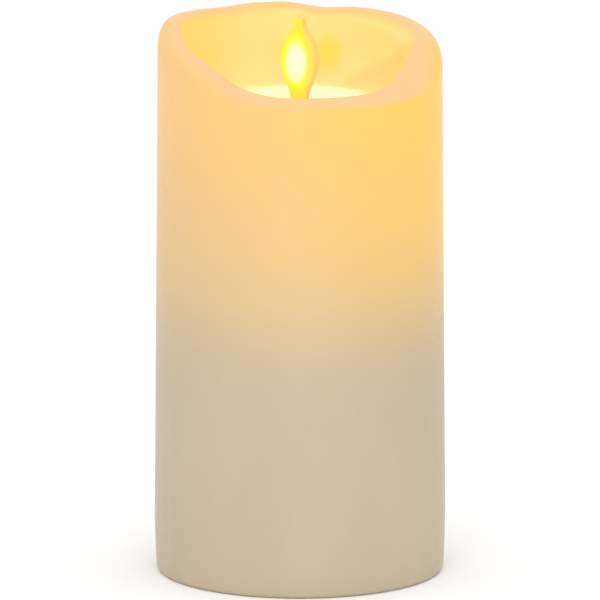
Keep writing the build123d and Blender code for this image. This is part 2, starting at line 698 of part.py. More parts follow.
def housing():
    """Both halves of the module housing as one, before it is split."""
    shell = Pos(0, 0, HOUSING_Z) * Box(HOUSING_X, HOUSING_Y, HOUSING_H, align=LOW)
    shell = fillet(shell.edges().filter_by(Axis.Z), HOUSING_EDGE)
    hollow_x = HOUSING_X / 2 - HOUSING_WALL
    hollow_y = HOUSING_Y / 2 - HOUSING_WALL
    shell -= block((-hollow_x, hollow_x), (-hollow_y, hollow_y), (HOUSING_FLOOR, HOUSING_TOP))
    seat = disc(BOBBIN_R + 1.3, HOUSING_FLOOR, HOUSING_FLOOR + 1.5)
    shell += seat - disc(BOBBIN_R + SEAT_GAP, HOUSING_FLOOR, HOUSING_FLOOR + 1.5)
    for y, z in housing_screw_places():
        shell += across_x(2.4, (-hollow_x - 0.5, hollow_x + 0.5), y, z)
        shell -= across_x(SMALL_SCREW[2] + HOLE_GAP, (0, HOUSING_X), y, z)
        shell -= across_x(SMALL_SCREW[2] + THREAD_GAP, (-hollow_x, 0), y, z)
    across = (HOUSING_X / 2 - 0.5, POST_X + 3.2)
    ear = block(across, (POST_Y - 3.2, POST_Y + 3.2), (HOUSING_TOP - EAR_T, HOUSING_TOP))
    ear -= Pos(POST_X, POST_Y) * disc(SMALL_SCREW[2] + HOLE_GAP, HOUSING_Z, HOUSING_TOP + 1)
    pair = ear + mirror(ear, Plane.XZ)
    shell += pair + mirror(pair, Plane.YZ)
    reach = (HOUSING_Y / 2 - HOUSING_WALL) + PIVOT_BITE + SEAT_GAP
    shell -= across_y(PIVOT_R + SEAT_GAP, 0, (-reach, reach), PIVOT_Z)
    for z in (led_wire_z(), coil_wire_z()):
        shell -= block((-4, 4), (-HOUSING_Y, -hollow_y + 1), (z - 1.2, z + 1.2))
    for rib in led_ribs(hollow_x):
        shell += rib
    return shell


def led_ribs(hollow_x):
    """Ribs on both side walls that grip the LED's holder."""
    grip = LED_HOLDER[0] / 2 - 2.5
    ribs = []
    for low in (LED_RIM_T - LED_RIB - SEAT_GAP, LED_RIM_T + LED_HOLDER[2] + SEAT_GAP):
        rib = block((grip, hollow_x + 0.5), (-3, 3), (low, low + LED_RIB))
        ribs += [led_frame() * rib, led_frame() * mirror(rib, Plane.YZ)]
    return ribs


def housing_left():
    half = block((-2 * HOUSING_X, 0), (-HOUSING_Y, HOUSING_Y), (0, RIM_HEIGHT))
    return in_module(housing() & half)


def housing_right():
    half = block((0, 2 * HOUSING_X), (-HOUSING_Y, HOUSING_Y), (0, RIM_HEIGHT))
    return in_module(housing() & half)


def housing_screws():
    fastener = Rot(Y=90) * screw(*LONG_SCREW)
    return module_group([Pos(HOUSING_X / 2, y, z) * fastener for y, z in housing_screw_places()])


def pivot_wire():
    reach = HOUSING_Y / 2 - HOUSING_WALL + PIVOT_BITE
    return in_module(across_y(PIVOT_R, 0, (-reach, reach), PIVOT_Z))


def flame_outline():
    """Half of the flame's outline from the front: half width, height above the bowl's floor."""
    return [(2.3, 0.0), (3.1, 3.2), (4.2, 6.0), (5.25, 8.8), (5.65, 12.0),
            (5.0, 15.6), (3.5, 18.6), (2.0, 20.9), (1.45, 22.8), (1.2, FLAME_H)]


def flame_blade():
    """The visible flame: its front outline and its side outline, crossed."""
    half = [(x, BOWL_Z + z) for x, z in flame_outline()]
    right = Spline(*half)
    left = Spline(*[(-x, z) for x, z in half])
    ends = Line(left @ 0, right @ 0) + Line(left @ 1, right @ 1)
    front = extrude(Plane.XZ * make_face(right + left + ends), FLAME_DEPTH, both=True)
    deep = FLAME_DEPTH / 2
    tip = BOWL_Z + FLAME_H
    back = Spline((STEM_D / 2, BOWL_Z), (deep, BOWL_Z + 9), (deep, BOWL_Z + 19), (deep * 0.6, tip))
    face = Spline((-STEM_D / 2, BOWL_Z), (-deep, BOWL_Z + 9), (-deep, BOWL_Z + 19), (-deep * 0.7, tip))
    ends = Line(back @ 0, face @ 0) + Line(back @ 1, face @ 1)
    side = extrude(Plane.YZ * make_face(back + face + ends), 2 * FLAME_DEPTH, both=True)
    dish = Pos(0, -deep - DISH_R + DISH_DEPTH, BOWL_Z + 12) * Sphere(DISH_R)
    inner = [(x - FLAME_SKIN, z) for x, z in half[1:8]]
    pocket = make_face(Polyline(*inner, *[(-x, z) for x, z in reversed(inner)], close=True))
    hollow = Pos(0, FLAME_DEPTH, 0) * extrude(Plane.XZ * pocket, FLAME_DEPTH + deep - 2 * FLAME_SKIN)
    return (front & side) - dish - hollow


def flame():
    """Flame, stem, eye and tail in one moulding."""
    stem = block((-STEM_W / 2, STEM_W / 2), (-STEM_D / 2, STEM_D / 2), (PIVOT_Z - 4, BOWL_Z + 0.5))
    eye = across_y(STEM_EYE_R, 0, (-STEM_D / 2, STEM_D / 2), PIVOT_Z)
    tail = block((-1.6, 1.6), (-1.3, 1.3), (MAGNET_TOP, PIVOT_Z))
    foot = disc(MAGNET_R + 0.4, MAGNET_TOP, MAGNET_TOP + 1.4)
    piece = flame_blade() + stem + eye + tail + foot
    hole = across_y(PIVOT_R + PIVOT_GAP, 0, (-STEM_D, STEM_D), PIVOT_Z)
    return in_module(piece - hole)


def flame_magnet():
    magnet = disc(MAGNET_R, MAGNET_TOP - MAGNET_H, MAGNET_TOP)
    return in_module(chamfer(magnet.edges().filter_by(GeomType.CIRCLE), 0.25))


def led_lens():
    """Round LED: rim, body and dome."""
    body = disc(LED_R, 0, LED_L - LED_R) + Pos(0, 0, LED_L - LED_R) * Sphere(LED_R)
    return in_module(led_frame() * (body + disc(LED_RIM_R, 0, LED_RIM_T)))


def led_leads():
    lead = disc(LEAD_R, -LEAD_L, 0)
    return module_group([led_frame() * Pos(x, 0) * lead for x in (-LEAD_PITCH / 2, LEAD_PITCH / 2)])


def led_holder():
    holder = Pos(0, 0, LED_RIM_T) * Box(*LED_HOLDER, align=LOW)
    holder = fillet(holder.edges().filter_by(Axis.Z), 1.0)
    return in_module(led_frame() * (holder - disc(LED_R + SEAT_GAP, 0, LED_RIM_T + LED_HOLDER[2] + 1)))


def coil_bobbin():
    low = HOUSING_FLOOR
    top = low + BOBBIN_H
    spool = disc(BOBBIN_CORE_R, low, top) + disc(BOBBIN_R, low, low + BOBBIN_FLANGE)
    spool += disc(BOBBIN_R, top - BOBBIN_FLANGE, top)
    return in_module(spool - disc(BOBBIN_BORE_R, low, top))


def coil_winding():
    low = HOUSING_FLOOR + BOBBIN_FLANGE + COIL_GAP
    high = HOUSING_FLOOR + BOBBIN_H - BOBBIN_FLANGE - COIL_GAP
    ring = disc(COIL_R, low, high)
    ring = fillet(ring.edges().filter_by(GeomType.CIRCLE), 0.8)
    return in_module(ring - disc(BOBBIN_CORE_R + COIL_GAP, low, high))


# ---- wires ------------------------------------------------------------------
def led_wire_z():
    """Height at which the LED's wires leave the housing."""
    return LED_Z - LEAD_L - 1.9


def coil_wire_z():
    """Height at which the coil's wires leave the housing."""
    return HOUSING_FLOOR + BOBBIN_FLANGE + 2.0


def over_board():
    """Height at which wires cross the edge of the board."""
    return BOARD_TOP + 4.0


def battery_wire(side):
    """Solder tab, out past the board's edge, up and back onto the board."""
    x = side * CELL_X
    low = BOX_TOP + TAB_H - 1.2
    out = BOARD[1] / 2 + 4
    land = BOARD[1] / 2 - 3
    start = TAB_Y + CONTACT_T
    over = over_board()
    points = [(x, start, low), (x, out, low), (x, out, over), (x, land, over), (x, land, BOARD_TOP)]
    return tube(points, [WIRE_BEND, WIRE_BEND, WIRE_BEND])


def battery_wire_red():
    return battery_wire(-1)


def battery_wire_black():
    return battery_wire(1)


def switch_wires():
    """Switch pins, up beside the battery box, onto the front of the board."""
    low = BASE_TOP + SWITCH_FRAME[2] + SWITCH_BODY[2] + SWITCH_PIN[2]
    rise_y = -BAY_Y - BOX_WALL - 3
    land_y = -BOARD[1] / 2 + 2.5
    wires = []
    for start, x in ((0, 7.5), (SWITCH_PIN_PITCH, 10.5)):
        points = [(start, SWITCH_Y, low), (start, SWITCH_Y, low + 8), (x, rise_y, low + 24)]
        points += [(x, rise_y, over_board()), (x, land_y, over_board()), (x, land_y, BOARD_TOP)]
        wires.append(tube(points, [8, 8, WIRE_BEND, WIRE_BEND]))
    return group(wires)


def led_wires():
    """LED leads, out through the housing's front and down onto the board."""
    wires = []
    for side in (-1, 1):
        x = side * LEAD_PITCH / 2
        lead_end = led_frame() * Pos(x, 0, -LEAD_L)
        start = lead_end.position
        out = -HOUSING_Y / 2 - 4.5
        drop = led_wire_z()
        points = [module_point(start.X, start.Y, start.Z), module_point(x, start.Y, drop)]
        points += [module_point(x, out, drop), module_point(x, out, BOARD_TOP + 9)]
        points += [(x - 12, -8, BOARD_TOP + 6), (x - 12, -8, BOARD_TOP)]
        wires.append(tube(points, [1.2, WIRE_BEND, 3, 3]))
    return group(wires)


def coil_wires():
    """Coil winding, out through the housing's front and down onto the board."""
    wires = []
    for side in (-1, 1):
        x = side * 2.4
        z = coil_wire_z()
        inside = -math.sqrt((COIL_R - 0.5) ** 2 - x ** 2)
        out = -HOUSING_Y / 2 - 2.2
        points = [module_point(x, inside, z), module_point(x, out, z), module_point(x, out, BOARD_TOP + 16)]
        points += [(x / 2 - 3, -6, BOARD_TOP + 6), (x / 2 - 3, -6, BOARD_TOP)]
        wires.append(tube(points, [WIRE_BEND, 4, 3]))
    return group(wires)


NODES = [
    wax_shell, core_sleeve, base_plate, base_screws, battery_door, hinge_pin, door_bridge_plate,
    door_bridge_spring, battery_box, cell_left, cell_right, positive_contact, negative_contact,
    negative_spring, control_board, board_screws, controller_chip, smoothing_capacitor, crystal,
    drive_transistor, resistors, switch_frame, switch_body, switch_pins, switch_knob, switch_screws,
    flame_collar, module_screws, housing_left, housing_right, housing_screws, pivot_wire, flame,
    flame_magnet, led_lens, led_leads, led_holder, coil_bobbin, coil_winding, battery_wire_red,
    battery_wire_black, switch_wires, led_wires, coil_wires,
]

os.makedirs("parts", exist_ok=True)
for make in NODES:
    export_step(make(), f"parts/{make.__name__}.step")
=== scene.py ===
import json
import math

import bpy
from bpy.props import FloatProperty, FloatVectorProperty, IntProperty, PointerProperty
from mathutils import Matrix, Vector


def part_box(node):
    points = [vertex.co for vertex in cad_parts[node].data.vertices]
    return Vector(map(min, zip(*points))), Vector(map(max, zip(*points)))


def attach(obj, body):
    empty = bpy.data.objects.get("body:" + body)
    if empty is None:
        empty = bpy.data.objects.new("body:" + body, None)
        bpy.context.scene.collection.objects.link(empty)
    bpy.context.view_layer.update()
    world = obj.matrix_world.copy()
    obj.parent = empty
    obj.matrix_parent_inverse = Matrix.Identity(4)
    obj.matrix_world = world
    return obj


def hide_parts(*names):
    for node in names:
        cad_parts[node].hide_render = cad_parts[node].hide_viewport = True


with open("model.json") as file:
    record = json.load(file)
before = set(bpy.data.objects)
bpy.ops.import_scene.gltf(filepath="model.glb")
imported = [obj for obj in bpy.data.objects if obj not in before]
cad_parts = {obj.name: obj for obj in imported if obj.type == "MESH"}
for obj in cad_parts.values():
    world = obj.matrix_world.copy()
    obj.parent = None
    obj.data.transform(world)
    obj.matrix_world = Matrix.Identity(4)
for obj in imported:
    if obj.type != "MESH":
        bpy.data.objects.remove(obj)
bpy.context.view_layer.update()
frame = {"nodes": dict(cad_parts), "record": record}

bl_info = {
    "name": "Flameless Candle",
    "version": (1, 0, 0),
    "blender": (4, 5, 0),
    "location": "View3D > Sidebar > Candle",
    "description": "Models and finishes a wax LED candle around its packed frame",
    "category": "Object",
}

MM = 0.001
WAX_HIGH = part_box("wax_shell")[1]
SLEEVE_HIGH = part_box("core_sleeve")[1]
COLLAR_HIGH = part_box("flame_collar")[1]
FLAME_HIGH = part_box("flame")[1]
PLATE_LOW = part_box("base_plate")[0]
KNOB_LOW, KNOB_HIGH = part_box("switch_knob")
RIM_Z = WAX_HIGH.z
BELLY_R = WAX_HIGH.x
SLEEVE_GAP = 0.1 * MM
CAVITY_R = SLEEVE_HIGH.x + SLEEVE_GAP
ROOF_Z = SLEEVE_HIGH.z + SLEEVE_GAP

# The wax, in millimetres: how far the rim sinks below its highest point, by
# degrees anticlockwise from +X, and how wide and deep its outer rounding is.
RIM_DROPS = ((0, 6.5), (15, 4.5), (30, 3.0), (45, 1.8), (65, 1.2), (80, 1.6), (96, 0.1), (112, 0.0),
             (127, 0.6), (150, 0.2), (174, 0.3), (186, 3.6), (199, 6.4), (217, 10.2), (229, 13.6),
             (238, 16.6), (248, 18.5), (262, 19.5), (280, 19.6), (311, 19.5), (321, 18.9), (331, 17.3),
             (340, 14.2), (350, 10.2))
RIM_ROUNDING = ((0, 6.8, 7.2), (60, 6.4, 7.0), (120, 6.0, 6.8), (180, 6.0, 6.6), (205, 5.0, 5.6),
                (228, 3.6, 4.2), (250, 2.0, 2.0), (275, 1.6, 1.2), (315, 1.8, 1.3), (332, 3.4, 3.0),
                (348, 5.8, 5.6))
# The lip's inner rounding: degrees, its width and depth, and how far wax that
# has run inwards fills the bowl's wall.
LIP_ROUNDING = ((0, 6.5, 10.5, 2.2), (25, 6.0, 9.0, 1.8), (50, 4.6, 6.5, 1.0), (80, 3.4, 4.2, 0.2),
                (110, 2.8, 3.4, 0), (180, 2.2, 3.2, 0), (205, 2.0, 2.8, 0), (232, 1.8, 2.0, 0),
                (258, 1.4, 1.3, 0), (285, 1.5, 1.4, 0.2), (310, 3.0, 2.4, 1.2), (328, 5.0, 5.0, 2.2),
                (343, 6.0, 8.0, 2.4))
# The fold where molten wax has run down inside the bowl: degrees and height
# above the bowl's floor.
FOLD_LINE = ((-80, 0.5), (-60, 9.0), (-35, 19.0), (6, 20.0), (16, 17.5), (26, 14.0), (40, 10.0),
             (57, 5.0), (66, 0.5))

# The lamp's light in the wax: the heights it climbs between, how bright it is by
# the share of that climb, and how much of it shows this far out on the left and
# the right.
GLOW_HEIGHTS = (50 * MM, 150 * MM)
GLOW_CLIMB = ((0.16, 0.0), (0.30, 0.22), (0.42, 0.47), (0.55, 0.64), (0.74, 0.80), (0.92, 1.0))
GLOW_REACH = 45 * MM
GLOW_SIDES = (0.72, 1.12)
# The pool of light on the bowl's floor fades between these two radii.
POOL_EDGE, POOL_FULL = 31 * MM, 12 * MM
# The painted patch of yellow light that the flame throws on the back wall: X and Z, and half its size.
PATCH_X, PATCH_Z = 8.6 * MM, 156.5 * MM
PATCH_WIDE, PATCH_HIGH = 6 * MM, 8 * MM
# The hot oval of painted lamp light on the flame's face: half its size, how far it is left of the
# flame's middle, and how far its own middle is below the tip.
OVAL_WIDE, OVAL_HIGH = 4.2 * MM, 7.4 * MM
OVAL_LEFT, OVAL_BELOW_TIP = 0.5 * MM, 13.7 * MM
FLAME_TURN = math.radians(25)

# The studio: where the camera looks, how far off and how high it is, and its lens.
CAMERA_TARGET = Vector((0, 0, 0.0841))
CAMERA_DISTANCE = 1.93
CAMERA_LIFT = math.radians(10.6)
CAMERA_LENS = 376
LIGHT_TARGET = Vector((0, 0, 0.08))
# The floor is a ring: its hole lies under the foot, and this many times larger is its edge.
FLOOR_HOLE_R = BELLY_R - 2.5 * MM
FLOOR_SPREAD = 160
FLOOR_DROP = 0.02 * MM


# ---- sizes and colours that can be changed ------------------------------------
class CandleSizes(bpy.types.PropertyGroup):
    bowl_depth: FloatProperty(name="Bowl depth", description="Rim's highest point down to the bowl's floor",
                              default=0.024, min=0.01, max=0.03, unit="LENGTH")
    bowl_corner: FloatProperty(name="Bowl corner", description="Radius between the bowl's floor and its wall",
                               default=0.0115, min=0.004, max=0.014, unit="LENGTH")
    bowl_lean: FloatProperty(name="Bowl lean", description="How far the bowl's wall leans outwards",
                             default=math.radians(10), min=0, max=math.radians(20), subtype="ANGLE")
    bowl_mouth: FloatProperty(name="Bowl mouth", description="Radius of the bowl at the rim's highest point",
                              default=0.0369, min=0.03, max=0.04, unit="LENGTH")
    opening: FloatProperty(name="Opening", description="Radius of the hole in the bowl's floor",
                           default=0.0125, min=0.01, max=0.02, unit="LENGTH")
    draft: FloatProperty(name="Draft", description="Taper of the outer wall above the belly",
                         default=math.radians(0.58), min=0, max=math.radians(2), subtype="ANGLE")
    belly_height: FloatProperty(name="Belly height", description="Height of the widest section",
                                default=0.019, min=0.005, max=0.05, unit="LENGTH")
    foot_edge: FloatProperty(name="Foot edge", description="Rounding of the bottom edge",
                             default=0.0015, min=0.0005, max=0.004, unit="LENGTH")
    foot_tuck: FloatProperty(name="Foot tuck", description="How much narrower the foot is than the belly",
                             default=0.00055, min=0, max=0.002, unit="LENGTH")
    columns: IntProperty(name="Columns", description="Faces around the wax",
                         default=256, min=48, max=256)


class CandleColours(bpy.types.PropertyGroup):
    ivory: FloatVectorProperty(name="Cool wax", description="Wax that the light does not reach",
                               default=(0.456, 0.378, 0.262), subtype="COLOR", size=3, min=0, max=1)
    # Painted light: the base colour turns to this where the lamp's light shows through the wall.
    warm: FloatVectorProperty(name="Warm wax", description="Body colour of the wax near the light",
                              default=(0.50, 0.340, 0.095), subtype="COLOR", size=3, min=0, max=1)
    amber_left: FloatVectorProperty(name="Glow, left", description="Light through the outer wall on its left",
                                    default=(0.42, 0.19, 0.055), subtype="COLOR", size=3, min=0, max=1)
    amber_right: FloatVectorProperty(name="Glow, right",
                                     description="Light through the outer wall on its right",
                                     default=(0.44, 0.21, 0.0), subtype="COLOR", size=3, min=0, max=1)
    bowl: FloatVectorProperty(name="Bowl glow", description="Light on the inside of the bowl",
                              default=(0.42, 0.285, 0.095), subtype="COLOR", size=3, min=0, max=1)
    lip: FloatVectorProperty(name="Lip glow", description="Light in the top of the rim",
                             default=(0.36, 0.15, 0.02), subtype="COLOR", size=3, min=0, max=1)


# ---- wax profile ----------------------------------------------------------------
def round_table(table, degrees, column=1):
    """A smooth value between the stations of a table that goes once around."""
    count = len(table)
    degrees %= 360
    last = max(i for i in range(count) if table[i][0] <= degrees)
    stations = [table[(last + step) % count] for step in (-1, 0, 1, 2)]
    turns = [(last + step) // count * 360 for step in (-1, 0, 1, 2)]
    at = [station[0] + turn for station, turn in zip(stations, turns)]
    value = [station[column] for station in stations]
    span = at[2] - at[1]
    share = (degrees - at[1]) / span
    rise_in = (value[2] - value[0]) / (at[2] - at[0]) * span
    rise_out = (value[3] - value[1]) / (at[3] - at[1]) * span
    square, cube = share ** 2, share ** 3
    return ((2 * cube - 3 * square + 1) * value[1] + (cube - 2 * square + share) * rise_in
            + (3 * square - 2 * cube) * value[2] + (cube - square) * rise_out)


def ease(value):
    """A smooth step from 0 to 1."""
    value = min(1.0, max(0.0, value))
    return value * value * (3 - 2 * value)


def fold_height(degrees):
    """Height of the fold above the bowl's floor, in metres, and 0 where there is none."""
    degrees = (degrees + 180) % 360 - 180
    for (low, first), (high, second) in zip(FOLD_LINE, FOLD_LINE[1:]):
        if low <= degrees <= high:
            return (first + (second - first) * (degrees - low) / (high - low)) * MM
    return 0.0


def wall_radius(sizes, z):
    """Outer radius of the wax at a height above its foot edge."""
    if z >= sizes.belly_height:
        return BELLY_R - (z - sizes.belly_height) * math.tan(sizes.draft)
    share = (sizes.belly_height - z) / sizes.belly_height
    return BELLY_R - sizes.foot_tuck * share ** 2


def bowl_radius(sizes, above_floor):
    """Radius of the bowl at a height above its floor."""
    turn = math.pi / 2 - sizes.bowl_lean
    rise = sizes.bowl_corner * (1 - math.cos(turn))
    corner_end = sizes.bowl_mouth - (sizes.bowl_depth - rise) * math.tan(sizes.bowl_lean)
    if above_floor >= rise:
        return corner_end + (above_floor - rise) * math.tan(sizes.bowl_lean)
    flat = corner_end - sizes.bowl_corner * math.sin(turn)
    return flat + math.sqrt(sizes.bowl_corner ** 2 - (sizes.bowl_corner - above_floor) ** 2)


def steps(count, first=False):
    """Shares from 0 to 1, leaving 0 out unless it is asked for."""
    return [i / count for i in range(0 if first else 1, count + 1)]


def bowl_light(depth, behind):
    """How far a point glows like the bowl, and how far it is creamy like the lip."""
    # Painted shade: behind the fold the bowl's glow is halved, and the lip's colour shows instead.
    glow = ease(depth / (3.6 * MM)) * (1 - 0.5 * ease(behind / (5 * MM)))
    return glow, 1 - glow


def wax_section(sizes, degrees):
    """Radius, height and light of each point of the wax's section at one angle.

    The light is how brightly the bowl glows and how much the point belongs to
    the creamy top of the rim."""
    floor = RIM_Z - sizes.bowl_depth
    top = RIM_Z - max(0.0, round_table(RIM_DROPS, degrees)) * MM
    lip_wide, lip_deep, fill = (round_table(LIP_ROUNDING, degrees, column) * MM for column in (1, 2, 3))
    lip_deep = min(lip_deep, (top - floor) * 0.6)
    edge_r = bowl_radius(sizes, top - lip_deep - floor) - fill
    mouth = edge_r + lip_wide
    outer_r = wall_radius(sizes, top)
    wide = min(round_table(RIM_ROUNDING, degrees, 1) * MM, outer_r - mouth - 0.4 * MM)
    deep = round_table(RIM_ROUNDING, degrees, 2) * MM
    band = outer_r - wide - mouth
    outer_top = top - band * 0.09
    points = []
    foot_r = BELLY_R - sizes.foot_tuck
    for share in steps(3, True):
        points.append((CAVITY_R + (foot_r - sizes.foot_edge - CAVITY_R) * share, 0, 0, 0))
    for share in steps(5):
        turn = share * math.pi / 2
        x = foot_r - sizes.foot_edge * (1 - math.sin(turn))
        points.append((x, sizes.foot_edge * (1 - math.cos(turn)), 0, 0))
    low, high = sizes.foot_edge, outer_top - deep
    for share in steps(44):
        z = low + (high - low) * share
        points.append((wall_radius(sizes, z), z, 0, 0))
    start_r = wall_radius(sizes, high)
    for share in steps(16):
        turn = share * math.pi / 2
        x = start_r - wide * (1 - math.cos(turn))
        points.append((x, high + deep * math.sin(turn), 0, ease(share)))
    end_r = start_r - wide
    for share in steps(7):
        points.append((end_r + (mouth - end_r) * share, outer_top + (top - outer_top) * share, 0, 1))
    fold = fold_height(degrees)
    reach = top - lip_deep - floor
    for share in steps(12):
        turn = share * math.pi / 2
        z = top - lip_deep * (1 - math.cos(turn))
        points.append((mouth - lip_wide * math.sin(turn), z, *bowl_light(top - z, fold - z + floor)))
    for share in steps(30):
        above = reach * (1 - share) ** 2
        behind = ease((fold - above) / (5 * MM)) * ease((1 - share) * 6)
        x = bowl_radius(sizes, above) - fill * ease(2 - 2 * share) - MM * behind * ease(share * 4)
        points.append((x, floor + above, *bowl_light(top - floor - above, fold - above)))
    flat = points[-1][0]
    for share in steps(10):
        points.append((flat + (sizes.opening + 0.5 * MM - flat) * share, floor, 1, 0))
    points.append((sizes.opening, floor - 0.5 * MM, 1, 0))
    for share in steps(2):
        points.append((sizes.opening, floor - 0.5 * MM + (ROOF_Z - floor + 0.5 * MM) * share, 1, 0))
    for share in steps(3):
        points.append((sizes.opening + (CAVITY_R - sizes.opening) * share, ROOF_Z, 0, 0))
    for share in steps(4)[:-1]:
        points.append((CAVITY_R, ROOF_Z * (1 - share), 0, 0))
    return points


# ---- mesh helpers -----------------------------------------------------------------
def deselect():
    bpy.ops.object.select_all(action="DESELECT")


def pick(obj):
    """Make one object the only selected and active one."""
    deselect()
    obj.select_set(True)
    bpy.context.view_layer.objects.active = obj


def settle(obj):
    """Put the object's place into its mesh and turn its faces outwards."""
    pick(obj)
    bpy.ops.object.transform_apply(location=True, rotation=True, scale=True)
    bpy.ops.object.mode_set(mode="EDIT")
    bpy.ops.mesh.select_all(action="SELECT")
    bpy.ops.mesh.remove_doubles(threshold=1e-6)
    bpy.ops.mesh.normals_make_consistent(inside=False)
    bpy.ops.object.mode_set(mode="OBJECT")


# ---- node helpers -----------------------------------------------------------------
def new_finish(name, **sockets):
    """A material with its shader's uniform numbers set, its tree and its shader."""
    material = bpy.data.materials.new(name)
    material.use_nodes = True
    shader = material.node_tree.nodes["Principled BSDF"]
    for socket, value in sockets.items():
        shader.inputs[socket.replace("_", " ").title().replace("Ior", "IOR")].default_value = value
    return material, material.node_tree, shader


def add_node(tree, kind, settings=None, **inputs):
    """One node, with its settings and its unlinked inputs by name or number."""
    node = tree.nodes.new(kind)
    for key, value in (settings or {}).items():
        setattr(node, key, value)
    for key, value in inputs.items():
        socket = node.inputs[int(key[1:])] if key[0] == "n" and key[1:].isdigit() else node.inputs[key]
        if isinstance(value, bpy.types.NodeSocket):
            tree.links.new(value, socket)
        else:
            socket.default_value = value
    return node


def place(tree, stretch=(1, 1, 1), turn=0.0):
    """Object coordinates, stretched and turned about Z."""
    source = add_node(tree, "ShaderNodeTexCoord").outputs["Object"]
    turned = add_node(tree, "ShaderNodeMapping", Vector=source, Scale=stretch, Rotation=(0, 0, turn))
    return turned.outputs[0]


def grain(tree, where, scale, detail=3.0):
    """A cloudy value from 0 to 1."""
    return add_node(tree, "ShaderNodeTexNoise", Vector=where, Scale=scale, Detail=detail).outputs["Fac"]


def span(tree, value, low, high, to_low=0.0, to_high=1.0, smooth=False):
    """A value carried from one range to another."""
    settings = {"interpolation_type": "SMOOTHSTEP" if smooth else "LINEAR"}
    node = add_node(tree, "ShaderNodeMapRange", settings, n0=value, n1=low, n2=high, n3=to_low, n4=to_high)
    return node.outputs[0]


def sums(tree, operation, first, second):
    """One sum of two values, such as ADD or MULTIPLY."""
    return add_node(tree, "ShaderNodeMath", {"operation": operation}, n0=first, n1=second).outputs[0]


def opaque(colour):
    """A colour of three numbers with its alpha, or a node's colour as it is."""
    return colour if isinstance(colour, bpy.types.NodeSocket) else (*colour, 1)


def blend(tree, share, first, second):
    """A colour between two colours."""
    start, end = (opaque(colour) for colour in (first, second))
    return add_node(tree, "ShaderNodeMix", {"data_type": "RGBA"}, n0=share, n6=start, n7=end).outputs[2]


def roughen(tree, shader, height, distance, strength=0.4):
    """Give the surface a fine relief."""
    node = add_node(tree, "ShaderNodeBump", Height=height, Strength=strength, Distance=distance)
    tree.links.new(node.outputs[0], shader.inputs["Normal"])


def speckled(name, colour, spread, scale, gloss=(0.4, 0.5), stretch=(1, 1, 1), relief=0.00002, **sockets):
    """A finish whose colour, gloss and surface vary a little with a fine grain."""
    material, tree, shader = new_finish(name, **sockets)
    fine = grain(tree, place(tree, stretch), scale)
    broad = grain(tree, place(tree), scale / 12, 2.0)
    dark = [c * (1 - spread) for c in colour]
    light = [min(1, c * (1 + spread)) for c in colour]
    tree.links.new(blend(tree, broad, dark, light), shader.inputs["Base Color"])
    tree.links.new(span(tree, fine, 0.3, 0.7, gloss[0], gloss[1]), shader.inputs["Roughness"])
    roughen(tree, shader, fine, relief)
    return material


# ---- finishes -----------------------------------------------------------------------
def length_of(tree, vector):
    return add_node(tree, "ShaderNodeVectorMath", {"operation": "LENGTH"}, n0=vector).outputs["Value"]


def wax_climb(tree, z):
    """How brightly the lamp shows through the outer wall at a height."""
    climb = add_node(tree, "ShaderNodeValToRGB", Fac=span(tree, z, *GLOW_HEIGHTS))
    ramp = climb.color_ramp
    for position, value in GLOW_CLIMB:
        ramp.elements.new(position).color = (value, value, value, 1)
    ramp.elements.remove(ramp.elements[0])
    ramp.elements.remove(ramp.elements[-1])
    ramp.interpolation = "B_SPLINE"
    return climb.outputs[0]


